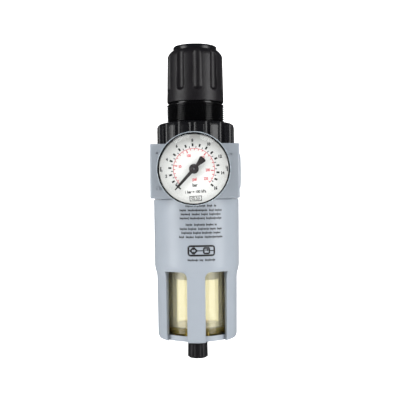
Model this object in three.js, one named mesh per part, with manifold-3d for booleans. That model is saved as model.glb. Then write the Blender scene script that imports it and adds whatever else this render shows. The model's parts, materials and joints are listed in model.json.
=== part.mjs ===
// Compressed-air filter-regulator with a dial gauge, as a scene graph of separate solids.
// Millimetres. +Z is up along the regulator's own axis and +X runs from the inlet port to the outlet
// port. The gauge looks along -Y. The origin is where the port axis crosses the vertical axis.
import * as THREE from "three";
import { mergeVertices } from "three/addons/utils/BufferGeometryUtils.js";
import Module from "manifold-3d";

const wasm = await Module();
wasm.setup();

// ---- Driving dimensions ----
const GAP = 0.3; // clearance between pieces that touch or run in each other
const ROUND = 32; // sides of a large visible circle
const SMALL = 16; // sides of a small circle
const GROOVE = 12; // sides of a cutter for a grip groove
const TINY = 8; // sides of a pin or a drilled hole
const PAST = 2; // how far a cutting tool runs past the face that it cuts

// Body block, a block with rounded edges, and below it a short round shoulder and a round spigot
const BODY_HALF = 31.25; // half the depth
const BODY_HALF_X = 31.6; // half the width
const BODY_EDGE_R = 1.3;
const BODY_TOP = 18.1;
const BODY_BOTTOM = -19.8;
const SHOULDER_R = 31;
const SHOULDER_LOW = -20.5;
const SPIGOT_R = 26.9;
const SPIGOT_BORE_R = 23.3;
const SPIGOT_END = -34.1;
const PORT_FACE = 33; // from the vertical axis to a port's sealing face
const BOSS_R = 12.5;
const PORT_BORE_R = 7.6; // G 3/8, minor radius
const INSERT_R = 9.6;
const INSERT_DEPTH = 13;
const PORT_DEPTH = 21;
const GAUGE_PORT_R = 5.1; // G 1/8
const GAUGE_PORT_DEPTH = 13;

// Bonnet and its panel-mounting thread, M42 x 1.5
const BONNET_SEAT = 11; // the ledge that the diaphragm's rim is clamped on
const BONNET_BORE_R = 24; // in the body
const BONNET_THREAD_R = 21;
const BONNET_SHOULDER = 48.8; // where the thread ends, under the knob
const BONNET_COLLAR_R = 19.2;
const BONNET_TUBE_R = 15.5;
const BONNET_TOP = 80;
const BONNET_INNER_R = 12.6;
const KEYWAY_W = 5;
const KEYWAY_R = 13.9;
const PANEL_NUT_R = 28.6;
const PANEL_NUT_LOW = BODY_TOP + 0.4;
const PANEL_NUT_TOP = 36.3;
const PANEL_NUT_GROOVES = 16;

// Knob, cap and adjusting screw
const KNOB_BOTTOM = 50.6;
const KNOB_TOP = 88.9;
const KNOB_BOTTOM_R = 20.9;
const KNOB_TOP_R = 20.3;
const KNOB_BORE_R = 16.1;
const KNOB_FLUTES = 10;
const CAP_R = 16.1;
const CAP_TOP = 92.2;
const SCREW_R = 4.9;
const SCREW_HEX_R = 5.7;
const NUT_TOP = 66;
const NUT_THICK = 6;

// Diaphragm, valve and springs
const DIAPHRAGM_R = 23.6;
const PLATE_TOP = BONNET_SEAT + 4.9;
const SPRING_R = 9.5;
const SPRING_WIRE_R = 1.4;
const SEAT_BORE_R = 7.8;
const VALVE_CHAMBER_R = 8.6;
const CENTRE_TUBE_R = 11;
const CENTRE_TUBE_END = -26;

// Bowl, guard and drain
const BOWL_R = 22;
const BOWL_WALL = 3.6;
const BOWL_FLOOR = -113.3;
const BOWL_BOTTOM = -119;
const GUARD_TOP = SHOULDER_LOW - GAP;
const GUARD_R = 31.5;
const GUARD_LOW_R = 29.1;
const GUARD_RING_R = 25.5; // the ring below the sight windows, set back between the posts
const GUARD_INNER_R = 24.3;
const GUARD_STEP = -70;
const GUARD_BOTTOM = -123;
const WINDOW_TOP = -72;
const WINDOW_BOTTOM = -118;
const POST_HALF = 6.4; // half the width of the front and rear posts
const DRAIN_HOLE_R = 9.5;
const DRAIN_KNOB_LOW = -137.7;
const DRAIN_KNOB_TOP = -124;

// Dial gauge, measured outwards from the body's front face
const GAUGE_R = 25;
const CASE_R = 24.2;
const CASE_INNER_R = 22.6;
const CASE_BACK = 5.3;
const CASE_FRONT = 22;
const DIAL_AT = 16.2;
const DIAL_R = 23.4;
const WINDOW_RIM = 23.5;
const WINDOW_DOME = 27.8;
const ZERO_TURN = 137.8; // degrees that the pointer stands left of straight up at zero
const MODULE = 0.25;
const PINION_TEETH = 10;
const SECTOR_TEETH_FULL = 90;
const PIVOT_AT = 240; // direction of the sector's pivot from the pointer's axis, in degrees
const TAIL_AT = 105; // direction of the sector's tail pin from its pivot, in degrees
const TAIL_LENGTH = 5.6;

// ---- Materials ----
const finish = (color, roughness, metalness = 0, opacity = 1) =>
  new THREE.MeshStandardMaterial({ color, roughness, metalness, opacity, transparent: opacity < 1 });
const GREY = finish(0xb2bac0, 0.55);
const BLACK = finish(0x18181a, 0.5);
const BRASS = finish(0xb8963e, 0.35, 1);
const STEEL = finish(0xa8a9ab, 0.3, 1);
const RUBBER = finish(0x1b1b1b, 0.8);
const AMBER = finish(0xd6cf96, 0.1, 0, 0.4);
const CLEAR = finish(0xf4f6f6, 0.05, 0, 0.25);
const WHITE = finish(0xf2f2f1, 0.6);
const POROUS = finish(0xe9e6da, 0.9);

// ---- Shape tools ----
const degrees = THREE.MathUtils.degToRad;
const polar = (radius, angle) => [radius * Math.cos(degrees(angle)), radius * Math.sin(degrees(angle))];
const range = (count) => Array.from({ length: count }, (_, i) => i);

function solidOf(geometry) {
  const bare = geometry.clone();
  bare.deleteAttribute("normal");
  bare.deleteAttribute("uv");
  const merged = mergeVertices(bare, 1e-4);
  const vertProperties = new Float32Array(merged.attributes.position.array);
  const triVerts = new Uint32Array(merged.index.array);
  return new wasm.Manifold(new wasm.Mesh({ numProp: 3, vertProperties, triVerts }));
}

function geometryOf(manifold) {
  const mesh = manifold.getMesh();
  const geometry = new THREE.BufferGeometry();
  geometry.setAttribute("position", new THREE.BufferAttribute(mesh.vertProperties, mesh.numProp));
  geometry.setIndex(new THREE.BufferAttribute(mesh.triVerts, 1));
  return geometry;
}

const join = (...shapes) => geometryOf(shapes.map(solidOf).reduce((a, b) => a.add(b)));
const common = (a, b) => geometryOf(solidOf(a).intersect(solidOf(b)));
const cut = (base, ...tools) => geometryOf(solidOf(base).subtract(solidOf(join(...tools))));

// A closed profile of [radius, z] points turned about the Z axis.
function turned(profile, sides = ROUND) {
  const loop = [...profile, profile[0]].map(([r, z]) => new THREE.Vector2(r, z));
  if (THREE.ShapeUtils.area(loop) < 0) loop.reverse();
  return new THREE.LatheGeometry(loop, sides).rotateX(Math.PI / 2);
}

const tube = (inner, outer, low, high, sides = ROUND) =>
  turned([[inner, low], [outer, low], [outer, high], [inner, high]], sides);

const rod = (radius, low, high, sides = ROUND) =>
  new THREE.CylinderGeometry(radius, radius, high - low, sides)
    .rotateX(Math.PI / 2)
    .translate(0, 0, (low + high) / 2);

// A flat outline of [x, y] points raised from low to high.
function prism(outline, low, high) {
  const shape = new THREE.Shape(outline.map(([x, y]) => new THREE.Vector2(x, y)));
  return new THREE.ExtrudeGeometry(shape, { depth: high - low, bevelEnabled: false }).translate(0, 0, low);
}

const slab = (x0, x1, y0, y1, low, high) => prism([[x0, y0], [x1, y0], [x1, y1], [x0, y1]], low, high);
const hexagon = (radius, low, high) => rod(radius, low, high, 6);
const ring = (count, make) => range(count).map((i) => make((360 / count) * i));
const arc = (radius, from, to, steps) =>
  range(steps + 1).map((i) => polar(radius, from + ((to - from) * i) / steps));

// A flat bar bent round the Z axis, from one direction to another in degrees.
const bent = (inner, outer, from, to, low, high, steps = 24) =>
  prism([...arc(outer, from, to, steps), ...arc(inner, to, from, steps)], low, high);

// A round-cornered square outline.
function roundedRectangle(halfX, halfY, radius, steps = 3) {
  return [[1, 1], [-1, 1], [-1, -1], [1, -1]].flatMap(([sx, sy], corner) =>
    arc(radius, corner * 90, corner * 90 + 90, steps)
      .map(([x, y]) => [x + sx * (halfX - radius), y + sy * (halfY - radius)]));
}

// A round wire wound about the Z axis, with one close turn at each end.
class Winding extends THREE.Curve {
  constructor(radius, low, high, turns, closePitch) {
    super();
    Object.assign(this, { radius, low, high, turns, closePitch });
  }
  getPoint(t, target = new THREE.Vector3()) {
    const turn = t * this.turns;
    const open = (this.high - this.low - 2 * this.closePitch) / (this.turns - 2);
    const first = Math.min(turn, 1) + Math.max(turn - (this.turns - 1), 0);
    const middle = Math.min(Math.max(turn - 1, 0), this.turns - 2);
    const height = this.low + first * this.closePitch + middle * open;
    const angle = 2 * Math.PI * turn;
    return target.set(this.radius * Math.cos(angle), this.radius * Math.sin(angle), height);
  }
}

function coilSpring(radius, wireRadius, low, high, turns, stepsPerTurn, sides) {
  const closePitch = 2 * wireRadius + GAP;
  const path = new Winding(radius, low + wireRadius, high - wireRadius, turns, closePitch);
  const section = new THREE.Shape(arc(wireRadius, 0, 360 - 360 / sides, sides - 1)
    .map(([x, y]) => new THREE.Vector2(x, y)));
  return new THREE.ExtrudeGeometry(section, { steps: turns * stepsPerTurn, extrudePath: path });
}

function piece(group, name, geometry, material) {
  const mesh = new THREE.Mesh(geometry, material);
  mesh.name = name;
  group.add(mesh);
  return mesh;
}

// ---- Body and ports ----
const filterRegulator = new THREE.Group();
const toRight = (shape) => shape.rotateY(Math.PI / 2);
const toLeft = (shape) => shape.rotateY(-Math.PI / 2);
const toFront = (shape) => shape.rotateX(Math.PI / 2);
const toRear = (shape) => shape.rotateX(-Math.PI / 2);

function bodyBlock() {
  const outside = join(
    prism(roundedRectangle(BODY_HALF_X, BODY_HALF, BODY_EDGE_R), BODY_BOTTOM, BODY_TOP),
    rod(SHOULDER_R, SHOULDER_LOW, BODY_BOTTOM + PAST),
    rod(SPIGOT_R, SPIGOT_END, BODY_BOTTOM + PAST),
    toRight(rod(BOSS_R, 0, PORT_FACE)),
    toLeft(rod(BOSS_R, 0, PORT_FACE)),
  );
  const insertBottom = PORT_FACE - INSERT_DEPTH - GAP;
  const port = () => join(
    rod(PORT_BORE_R, PORT_FACE - PORT_DEPTH, PORT_FACE, SMALL),
    rod(INSERT_R + GAP, insertBottom, PORT_FACE + PAST),
  );
  const passageX = 15.5;
  const gaugePort = () => rod(GAUGE_PORT_R, BODY_HALF - GAUGE_PORT_DEPTH, BODY_HALF + PAST, SMALL);
  const gaugeChannelY = BODY_HALF - GAUGE_PORT_DEPTH;
  const gaugeChannel = (side) => rod(1.5, 0, BONNET_SEAT - 1, TINY).translate(0, side * gaugeChannelY, 0);
  const chamberR = 19;
  const chamberFloor = 8.8;
  const annulusTop = -12;
  return cut(
    outside,
    rod(BONNET_BORE_R, BONNET_SEAT, BODY_TOP + PAST),
    rod(chamberR, chamberFloor, BONNET_SEAT + PAST),
    rod(SEAT_BORE_R, -4, chamberFloor + 1, SMALL),
    rod(VALVE_CHAMBER_R, SPIGOT_END - PAST, -3, SMALL),
    tube(CENTRE_TUBE_R, SPIGOT_BORE_R, SPIGOT_END - PAST, annulusTop),
    rod(SPIGOT_BORE_R, SPIGOT_END - PAST, CENTRE_TUBE_END),
    toRight(port()),
    toLeft(port()),
    rod(4, 0, chamberFloor + 1, TINY).translate(passageX - 1, 0, 0),
    rod(4.4, annulusTop - 1, 0, TINY).translate(-passageX, 0, 0),
    toFront(gaugePort()),
    toRear(gaugePort()),
    gaugeChannel(-1),
    gaugeChannel(1),
  );
}

const portInsert = () => tube(PORT_BORE_R, INSERT_R, PORT_FACE - INSERT_DEPTH, PORT_FACE - 0.1, SMALL);

function rearPlug() {
  const depth = 8;
  const face = BODY_HALF - 0.2;
  const socket = hexagon(2.9, face - 4, face + PAST);
  return cut(rod(GAUGE_PORT_R - GAP, face - depth, face, SMALL), socket);
}

piece(filterRegulator, "body_block", bodyBlock(), GREY);
piece(filterRegulator, "inlet_insert", toLeft(portInsert()), BRASS);
piece(filterRegulator, "outlet_insert", toRight(portInsert()), BRASS);
piece(filterRegulator, "rear_plug", toRear(rearPlug()), BRASS);

// ---- Bonnet and panel nut ----
function bonnet() {
  const flangeR = BONNET_BORE_R - 0.4;
  const low = BONNET_SEAT + 2.6;
  const skirtR = 19.2;
  const topWall = 3;
  const holeR = 6.5;
  const shell = turned([
    [skirtR, low], [flangeR, low], [flangeR, BODY_TOP - GAP], [BONNET_THREAD_R, BODY_TOP - GAP],
    [BONNET_THREAD_R, BONNET_SHOULDER], [BONNET_COLLAR_R, BONNET_SHOULDER],
    [BONNET_COLLAR_R, KNOB_BOTTOM + 0.9], [BONNET_TUBE_R, KNOB_BOTTOM + 0.9],
    [BONNET_TUBE_R, BONNET_TOP], [holeR, BONNET_TOP], [holeR, BONNET_TOP - topWall],
    [BONNET_INNER_R, BONNET_TOP - topWall], [BONNET_INNER_R, 30], [skirtR, 24],
  ]);
  const keyways = slab(-KEYWAY_R, KEYWAY_R, -KEYWAY_W / 2, KEYWAY_W / 2, 27, BONNET_TOP - topWall - 1);
  return cut(shell, keyways);
}

function panelNut() {
  const rounding = 3.6;
  const boreR = BONNET_THREAD_R + 0.4;
  const grooveR = 4;
  const grooveAt = 30.4;
  const shell = turned([
    [boreR, PANEL_NUT_LOW], [PANEL_NUT_R - 0.6, PANEL_NUT_LOW], [PANEL_NUT_R, PANEL_NUT_LOW + 0.8],
    [PANEL_NUT_R, PANEL_NUT_TOP - rounding], [PANEL_NUT_R - 0.6, PANEL_NUT_TOP - 0.6 * rounding],
    [PANEL_NUT_R - 2.1, PANEL_NUT_TOP - 0.33 * rounding], [PANEL_NUT_R - 4.6, PANEL_NUT_TOP - 0.1 * rounding],
    [boreR + 1, PANEL_NUT_TOP], [boreR, PANEL_NUT_TOP - 0.8],
  ]);
  const firstGroove = -92.2; // just left of the front
  const grooves = ring(PANEL_NUT_GROOVES, (angle) => {
    const [x, y] = polar(grooveAt, angle + firstGroove);
    return rod(grooveR, PANEL_NUT_LOW - PAST, PANEL_NUT_TOP + PAST, GROOVE).translate(x, y, 0);
  });
  return cut(shell, ...grooves);
}

piece(filterRegulator, "bonnet", bonnet(), BLACK);
piece(filterRegulator, "panel_nut", panelNut(), BLACK);

// ---- Knob and adjusting screw ----
function knobShell() {
  const outside = turned([
    [0, KNOB_BOTTOM], [KNOB_BOTTOM_R - 0.4, KNOB_BOTTOM], [KNOB_BOTTOM_R, KNOB_BOTTOM + 0.5],
    [KNOB_TOP_R, KNOB_TOP - 4.9], [KNOB_TOP_R - 0.8, KNOB_TOP - 2.7], [KNOB_TOP_R - 2.2, KNOB_TOP - 0.9],
    [CAP_R + 0.6, KNOB_TOP], [0, KNOB_TOP],
  ]);
  const recess = rod(CAP_R + GAP, KNOB_TOP - 2.2, KNOB_TOP + PAST);
  const bore = rod(KNOB_BORE_R, KNOB_BOTTOM - PAST, BONNET_TOP + 0.6);
  const mouth = rod(BONNET_COLLAR_R + 0.5, KNOB_BOTTOM - PAST, KNOB_BOTTOM + 2.4);
  const socket = hexagon(SCREW_HEX_R + 0.4, BONNET_TOP - PAST, KNOB_TOP - 3.4);
  const fluteR = 4.9;
  const fluteAt = 23.6;
  const fluteFoot = 62;
  const firstFlute = -84.5; // a little right of the front
  const flutes = ring(KNOB_FLUTES, (angle) => {
    const [x, y] = polar(fluteAt, angle + firstFlute);
    const end = new THREE.SphereGeometry(fluteR, GROOVE, 4).rotateX(Math.PI / 2).translate(x, y, fluteFoot);
    return join(rod(fluteR, fluteFoot, KNOB_TOP + PAST, GROOVE).translate(x, y, 0), end);
  });
  return cut(outside, recess, bore, mouth, socket, ...flutes);
}

function knobCap() {
  const low = KNOB_TOP - 1.9;
  return turned([[0, low], [CAP_R, low], [CAP_R, CAP_TOP - 0.7], [CAP_R - 0.8, CAP_TOP], [0, CAP_TOP]]);
}

function adjustingScrew() {
  const collarTop = BONNET_TOP - 4.3;
  const collarLow = collarTop - 2.6;
  const tip = 44;
  return join(
    hexagon(SCREW_HEX_R, collarTop - 1, KNOB_TOP - 3.8),
    rod(9, collarLow, collarTop, SMALL),
    rod(SCREW_R, tip, collarLow + 1, SMALL),
  );
}

function springNut() {
  const lugR = KEYWAY_R - 0.4;
  const lugHalf = KEYWAY_W / 2 - GAP;
  const low = NUT_TOP - NUT_THICK;
  const blank = join(
    rod(BONNET_INNER_R - 0.4, low, NUT_TOP, SMALL),
    slab(-lugR, lugR, -lugHalf, lugHalf, low, NUT_TOP),
    rod(SPRING_R - SPRING_WIRE_R - 0.5, low - 2.5, low + 1, SMALL),
  );
  return cut(blank, rod(SCREW_R + GAP, low - 3 - PAST, NUT_TOP + PAST, SMALL));
}

piece(filterRegulator, "adjusting_knob", knobShell(), BLACK);
piece(filterRegulator, "knob_cap", knobCap(), BLACK);
piece(filterRegulator, "adjusting_screw", adjustingScrew(), STEEL);
piece(filterRegulator, "thrust_washer", tube(6.1, 9.4, BONNET_TOP - 4, BONNET_TOP - 3.3, SMALL), WHITE);
piece(filterRegulator, "spring_nut", springNut(), BRASS);
piece(filterRegulator, "main_spring",
  coilSpring(SPRING_R, SPRING_WIRE_R, PLATE_TOP + 0.2, NUT_TOP - NUT_THICK - 0.2, 8, 10, 5), STEEL);

// ---- Diaphragm and valve ----
function diaphragm() {
  const hole = 3.9;
  return turned([
    [hole, 1], [16, 1], [16.9, 3.2], [17.5, 3.2], [18.3, GAP], [DIAPHRAGM_R, GAP],
    [DIAPHRAGM_R, 2 + GAP], [18.9, 2 + GAP], [18.1, 4.2], [16.3, 4.2], [15.4, 2.2], [hole, 2.2],
  ]).translate(0, 0, BONNET_SEAT);
}

function reliefSeat() {
  const discLow = -1.1;
  const discTop = 0.7;
  const studTop = 9.5;
  return turned([
    [1.2, discLow], [11, discLow], [11, discTop], [3.5, discTop], [3.5, studTop], [1.2, studTop],
  ], SMALL).translate(0, 0, BONNET_SEAT);
}

function valveStem() {
  const tip = BONNET_SEAT - 1.4;
  return turned([
    [0, -22], [2.9, -22], [2.9, -6.4], [6.6, -6.4], [6.6, -4.1], [1.4, -4.1], [1.4, tip], [0, tip],
  ], SMALL);
}

function valveGuide() {
  const top = -19;
  const flangeTop = CENTRE_TUBE_END - GAP;
  const low = flangeTop - 2;
  const blank = join(rod(VALVE_CHAMBER_R - GAP, low, top, SMALL), rod(10.6, low, flangeTop, SMALL));
  const airHoles = ring(4, (angle) => {
    const [x, y] = polar(5.9, angle + 45);
    return rod(1.4, low - PAST, top + PAST, TINY).translate(x, y, 0);
  });
  return cut(blank, rod(3.2, -24.2, top + PAST, SMALL), rod(2.2, low - PAST, -25.4, TINY), ...airHoles);
}

piece(filterRegulator, "diaphragm", diaphragm(), RUBBER);
piece(filterRegulator, "diaphragm_plate", tube(3.9, 15, BONNET_SEAT + 2.5, PLATE_TOP, SMALL), STEEL);
piece(filterRegulator, "relief_seat", reliefSeat(), BRASS);
piece(filterRegulator, "diaphragm_nut",
  cut(hexagon(5.8, PLATE_TOP + GAP, PLATE_TOP + 3.9), rod(3.8, PLATE_TOP, PLATE_TOP + 5, SMALL)), STEEL);
piece(filterRegulator, "valve_seat", tube(4.4, SEAT_BORE_R - GAP, -1.8, 2.6, SMALL), BRASS);
piece(filterRegulator, "valve_stem", valveStem(), BRASS);
piece(filterRegulator, "valve_seal", tube(1.7, 6.4, -3.8, -2.1, SMALL), RUBBER);
piece(filterRegulator, "valve_spring", coilSpring(4.6, 0.6, -18.8, -6.7, 6, 8, 4), STEEL);
piece(filterRegulator, "valve_guide", valveGuide(), BRASS);

// ---- Filter ----
const DEFLECTOR_TOP = -28.8;
const ELEMENT_TOP = -39.3;
const ELEMENT_END = -70;
const BAFFLE_END = -79;

function deflector() {
  const bladeReach = [11.5, 17.8];
  const hub = tube(9.2, 12.6, ELEMENT_TOP + GAP, DEFLECTOR_TOP, SMALL);
  const blades = ring(10, (angle) =>
    slab(...bladeReach, -0.6, 0.6, -5, 5)
      .rotateX(degrees(35))
      .rotateZ(degrees(angle))
      .translate(0, 0, (ELEMENT_TOP + DEFLECTOR_TOP) / 2));
  return join(hub, ...blades);
}

function baffle() {
  return turned([
    [3.1, ELEMENT_END - GAP], [15.2, ELEMENT_END - GAP], [16.4, ELEMENT_END - 1.6], [16.4, BAFFLE_END],
    [15, BAFFLE_END], [15, ELEMENT_END - 2], [3.1, ELEMENT_END - 2],
  ], 32);
}

piece(filterRegulator, "filter_deflector", deflector(), WHITE);
piece(filterRegulator, "filter_element", tube(9, 12.5, ELEMENT_END, ELEMENT_TOP, 32), POROUS);
piece(filterRegulator, "filter_baffle", baffle(), WHITE);
piece(filterRegulator, "filter_stud", rod(1.9, -77, -25.7, TINY), BRASS);
piece(filterRegulator, "filter_nut", cut(hexagon(5.6, -76.2, -72.4), rod(2.2, -79, -70, TINY)), BRASS);

// ---- Bowl, guard and drain ----
function bowl() {
  const inner = BOWL_R - BOWL_WALL;
  const rimR = SPIGOT_BORE_R - 0.4;
  const grooveR = 20.9;
  const flangeR = 26.4;
  const flangeTop = SPIGOT_END - 0.4;
  const flangeLow = flangeTop - 3.4;
  const hole = 5.4;
  return turned([
    [hole, BOWL_BOTTOM], [BOWL_R - 1.5, BOWL_BOTTOM], [BOWL_R, BOWL_BOTTOM + 1.5], [BOWL_R, flangeLow],
    [flangeR, flangeLow], [flangeR, flangeTop], [rimR, flangeTop], [rimR, -29.6], [grooveR, -29.6],
    [grooveR, -26.4], [rimR, -26.4], [rimR, -22.6], [inner + 0.6, -22.6], [inner, -24],
    [inner, BOWL_FLOOR + 0.8], [inner - 0.8, BOWL_FLOOR], [hole, BOWL_FLOOR],
  ]);
}

function bowlSeal() {
  const centreR = 22.1;
  const sectionR = 1.05;
  return new THREE.TorusGeometry(centreR, sectionR, 8, 32).translate(0, 0, -28);
}

// The four sight windows are moulded from the front and the rear, so each is the common part of an
// outline seen from above and an outline seen from the front. The ring below them is set back.
function sightWindow(side, front) {
  const reach = 36;
  const outerX = 24;
  const flareR = 3.9;
  const cornerR = 4.5;
  const flare = arc(flareR, 270, 180, 3).map(([x, y]) => [x + outerX, y - 12.6]);
  const plan = (low, high) => prism([
    [POST_HALF, -reach], [outerX, -reach], ...flare, [outerX - 5.6, -9], [POST_HALF, -9],
  ], low, high);
  const corner = arc(cornerR, 90, 180, 3)
    .map(([x, y]) => [POST_HALF + cornerR + x, WINDOW_TOP - cornerR + y]);
  const face = toFront(prism([
    [POST_HALF, WINDOW_BOTTOM], [reach, WINDOW_BOTTOM], [reach, WINDOW_TOP], ...corner,
  ], 0, reach));
  const setBack = cut(
    plan(GUARD_BOTTOM - PAST, WINDOW_BOTTOM + 1),
    rod(GUARD_RING_R, GUARD_BOTTOM - 2 * PAST, WINDOW_BOTTOM + 2 * PAST),
  );
  const shape = join(common(plan(WINDOW_BOTTOM - PAST, WINDOW_TOP + PAST), face), setBack);
  if (side > 0 && front > 0) return shape;
  const flipped = geometryOf(solidOf(shape).mirror([side > 0 ? 0 : 1, front > 0 ? 0 : 1, 0]));
  return side > 0 || front > 0 ? flipped : shape.rotateZ(Math.PI);
}

function bowlGuard() {
  const threadR = SPIGOT_R + 0.4;
  const shoulder = -38.3;
  const shell = turned([
    [threadR, GUARD_TOP], [GUARD_R - 0.3, GUARD_TOP], [GUARD_R, GUARD_TOP - 0.4],
    [GUARD_R - 0.3, GUARD_STEP + 1], [GUARD_R - 0.75, GUARD_STEP - 1.5], [GUARD_R - 1.7, GUARD_STEP - 4.8],
    [GUARD_LOW_R + 0.4, GUARD_STEP - 7],
    [GUARD_LOW_R, GUARD_BOTTOM + 3.3], [GUARD_LOW_R - 1, GUARD_BOTTOM + 1],
    [GUARD_LOW_R - 3.3, GUARD_BOTTOM], [DRAIN_HOLE_R, GUARD_BOTTOM], [DRAIN_HOLE_R, BOWL_BOTTOM - 0.6],
    [GUARD_INNER_R, BOWL_BOTTOM - 0.6], [GUARD_INNER_R, -42.8], [BOWL_R + 0.8, -41.5],
    [BOWL_R + 0.8, shoulder], [threadR, shoulder],
  ]);
  const windows = [[1, 1], [-1, 1], [1, -1], [-1, -1]].map(([side, front]) => sightWindow(side, front));
  return cut(shell, ...windows);
}

function drainBody() {
  const flangeLow = BOWL_FLOOR + 1.5;
  return turned([
    [2, -130.5], [5, -130.5], [5, flangeLow], [8, flangeLow], [8, flangeLow + 1.6],
    [6.4, flangeLow + 2.2], [2, flangeLow + 2.2],
  ], SMALL);
}

function drainKnob() {
  const flange = DRAIN_KNOB_TOP - 2.5;
  const blank = turned([
    [0, DRAIN_KNOB_LOW], [6.3, DRAIN_KNOB_LOW], [7.4, DRAIN_KNOB_LOW + 1.2], [7.25, flange],
    [7.9, flange], [7.9, DRAIN_KNOB_TOP], [0, DRAIN_KNOB_TOP],
  ], 32);
  const slots = ring(8, (angle) =>
    slab(6.5, 9, -0.5, 0.5, DRAIN_KNOB_LOW - PAST, flange - 0.6).rotateZ(degrees(angle + 22.5)));
  return cut(blank, rod(5.3, -130.9, DRAIN_KNOB_TOP + PAST, SMALL), rod(2, -140, -129, TINY), ...slots);
}

function drainStem() {
  return turned([[0, -134], [1.5, -134], [1.5, -108.2], [3.6, -108.2], [2.6, -106.6], [0, -106.6]], TINY);
}

piece(filterRegulator, "bowl", bowl(), AMBER);
piece(filterRegulator, "bowl_o_ring", bowlSeal(), RUBBER);
piece(filterRegulator, "bowl_guard", bowlGuard(), GREY);
piece(filterRegulator, "drain_body", drainBody(), BRASS);
piece(filterRegulator, "drain_gasket", tube(5.4, 8.2, BOWL_FLOOR + 0.2, BOWL_FLOOR + 1.2, SMALL), RUBBER);
piece(filterRegulator, "drain_nut",
  cut(hexagon(9, BOWL_BOTTOM - 3.4, BOWL_BOTTOM - GAP), rod(5.3, -124, -118, SMALL)), BRASS);
piece(filterRegulator, "drain_stem", drainStem(), STEEL);
piece(filterRegulator, "drain_seal", tube(1.8, 3.4, -109.3, -108.5, TINY), RUBBER);
piece(filterRegulator, "drain_knob", drainKnob(), BLACK);

// ---- Dial gauge: its group's Z is outwards from the body's front face and its Y is up ----
const gauge = new THREE.Group();
gauge.position.y = -BODY_HALF;
gauge.rotation.x = Math.PI / 2;
filterRegulator.add(gauge);

const pitchRadius = (teeth) => (MODULE * teeth) / 2;
const pivot = polar(pitchRadius(PINION_TEETH) + pitchRadius(SECTOR_TEETH_FULL), PIVOT_AT);
const tail = polar(TAIL_LENGTH, TAIL_AT).map((value, i) => value + pivot[i]);
const tipPin = [tail[0] - 5.7, tail[1] + 0.6];

// The outline of some of a gear's teeth, short and slim so that they run free.
function teeth(full, first, last) {
  const rootR = pitchRadius(full) - 0.3;
  const tipR = pitchRadius(full) + 0.16;
  const step = 360 / full;
  return range(last - first).flatMap((i) => {
    const centre = (first + i) * step;
    return [[rootR, -0.32], [tipR, -0.12], [tipR, 0.12], [rootR, 0.32]]
      .map(([radius, share]) => polar(radius, centre + share * step));
  });
}

function gaugeSocket() {
  const blank = join(
    rod(GAUGE_PORT_R - GAP, -10, 2, SMALL),
    hexagon(8.08, 1.2, CASE_BACK - GAP),
    rod(5, 4, 8, SMALL),
    slab(-4.5, 9, -18.5, 4.5, 7, 9),
    slab(0, 9, -18.5, -14, 8.5, 14.6),
  );
  return cut(blank, rod(1.5, -10 - PAST, 6, TINY));
}

function gaugeCase() {
  return turned([
    [5.3, CASE_BACK], [CASE_R - 1.7, CASE_BACK], [CASE_R, CASE_BACK + 1.7], [CASE_R, CASE_FRONT],
    [DIAL_R + 0.15, CASE_FRONT], [DIAL_R + 0.15, DIAL_AT - 0.1], [CASE_INNER_R, DIAL_AT - 0.1],
    [CASE_INNER_R, CASE_BACK + 1.4], [5.3, CASE_BACK + 1.4],
  ]);
}

function gaugeWindow() {
  const skirtInner = CASE_R + 0.25;
  const wall = 1.5;
  return turned([
    [skirtInner, 17.5], [GAUGE_R, 17.5], [GAUGE_R, WINDOW_RIM], [24.6, 25], [22.6, 26.6], [12, 27.5],
    [0, WINDOW_DOME], [0, WINDOW_DOME - wall], [12, 26], [22, 25.1], [23.8, 23.6], [skirtInner, 22.8],
  ]);
}

function bourdonTube() {
  const from = -55;
  const to = 195;
  return cut(bent(15.7, 17.3, from, to, 9.3, 14.3), bent(16.1, 16.9, from - 2, to - 4, 9.8, 13.8));
}

function bourdonTip() {
  const ear = slab(-1.6, 2.6, -1, 1, 11.4, 12.2)
    .rotateZ(degrees(200))
    .translate(tipPin[0], tipPin[1], 0);
  const pin = rod(0.35, 12, 13.2, TINY).translate(tipPin[0], tipPin[1], 0);
  return join(bent(15.7, 17.3, 196.3, 203, 9.3, 14.3, 3), ear, pin);
}

function movementPlate(low, high) {
  const outline = [[-10.2, -13.9], [-5, -14.2], [3, -4], [4.9, 2.4], [3.9, 4.6], [-3.4, 3.4], [-10.2, -9]];
  const hole = ([x, y]) => rod(0.8, low - PAST, high + PAST, TINY).translate(x, y, 0);
  return cut(prism(outline, low, high), hole([0, 0]), hole(pivot));
}

function sectorGear() {
  const low = 11.4;
  const high = 12.2;
  const facing = PIVOT_AT - 180;
  const lean = 15; // at zero the sector stands this far short of its middle, in degrees
  const turn = (shape) => shape.rotateZ(degrees(facing)).translate(pivot[0], pivot[1], 0);
  const first = Math.round(-(lean + 22) / 4);
  const last = Math.round((22 - lean) / 4) + 1;
  const toothed = [[0, -1.4], ...teeth(SECTOR_TEETH_FULL, first, last), [0, 1.4]];
  const blade = turn(prism(toothed, low, high));
  const boss = rod(1.7, low, high, TINY).translate(pivot[0], pivot[1], 0);
  const arbor = rod(0.55, 9.4, 14.3, TINY).translate(pivot[0], pivot[1], 0);
  const arm = slab(0, TAIL_LENGTH + 1, -0.9, 0.9, low, high)
    .rotateZ(degrees(TAIL_AT))
    .translate(pivot[0], pivot[1], 0);
  const pin = rod(0.35, low, 13.2, TINY).translate(tail[0], tail[1], 0);
  return join(blade, boss, arbor, arm, pin);
}

function link() {
  const length = Math.hypot(tipPin[0] - tail[0], tipPin[1] - tail[1]);
  const outline = [...arc(0.9, 90, 270, 4), ...arc(0.9, -90, 90, 4).map(([x, y]) => [x + length, y])];
  const hole = (x) => rod(0.65, 12, 14, TINY).translate(x, 0, 0);
  const heading = Math.atan2(tipPin[1] - tail[1], tipPin[0] - tail[0]);
  return cut(prism(outline, 12.5, 13), hole(0), hole(length)).rotateZ(heading).translate(tail[0], tail[1], 0);
}

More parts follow.
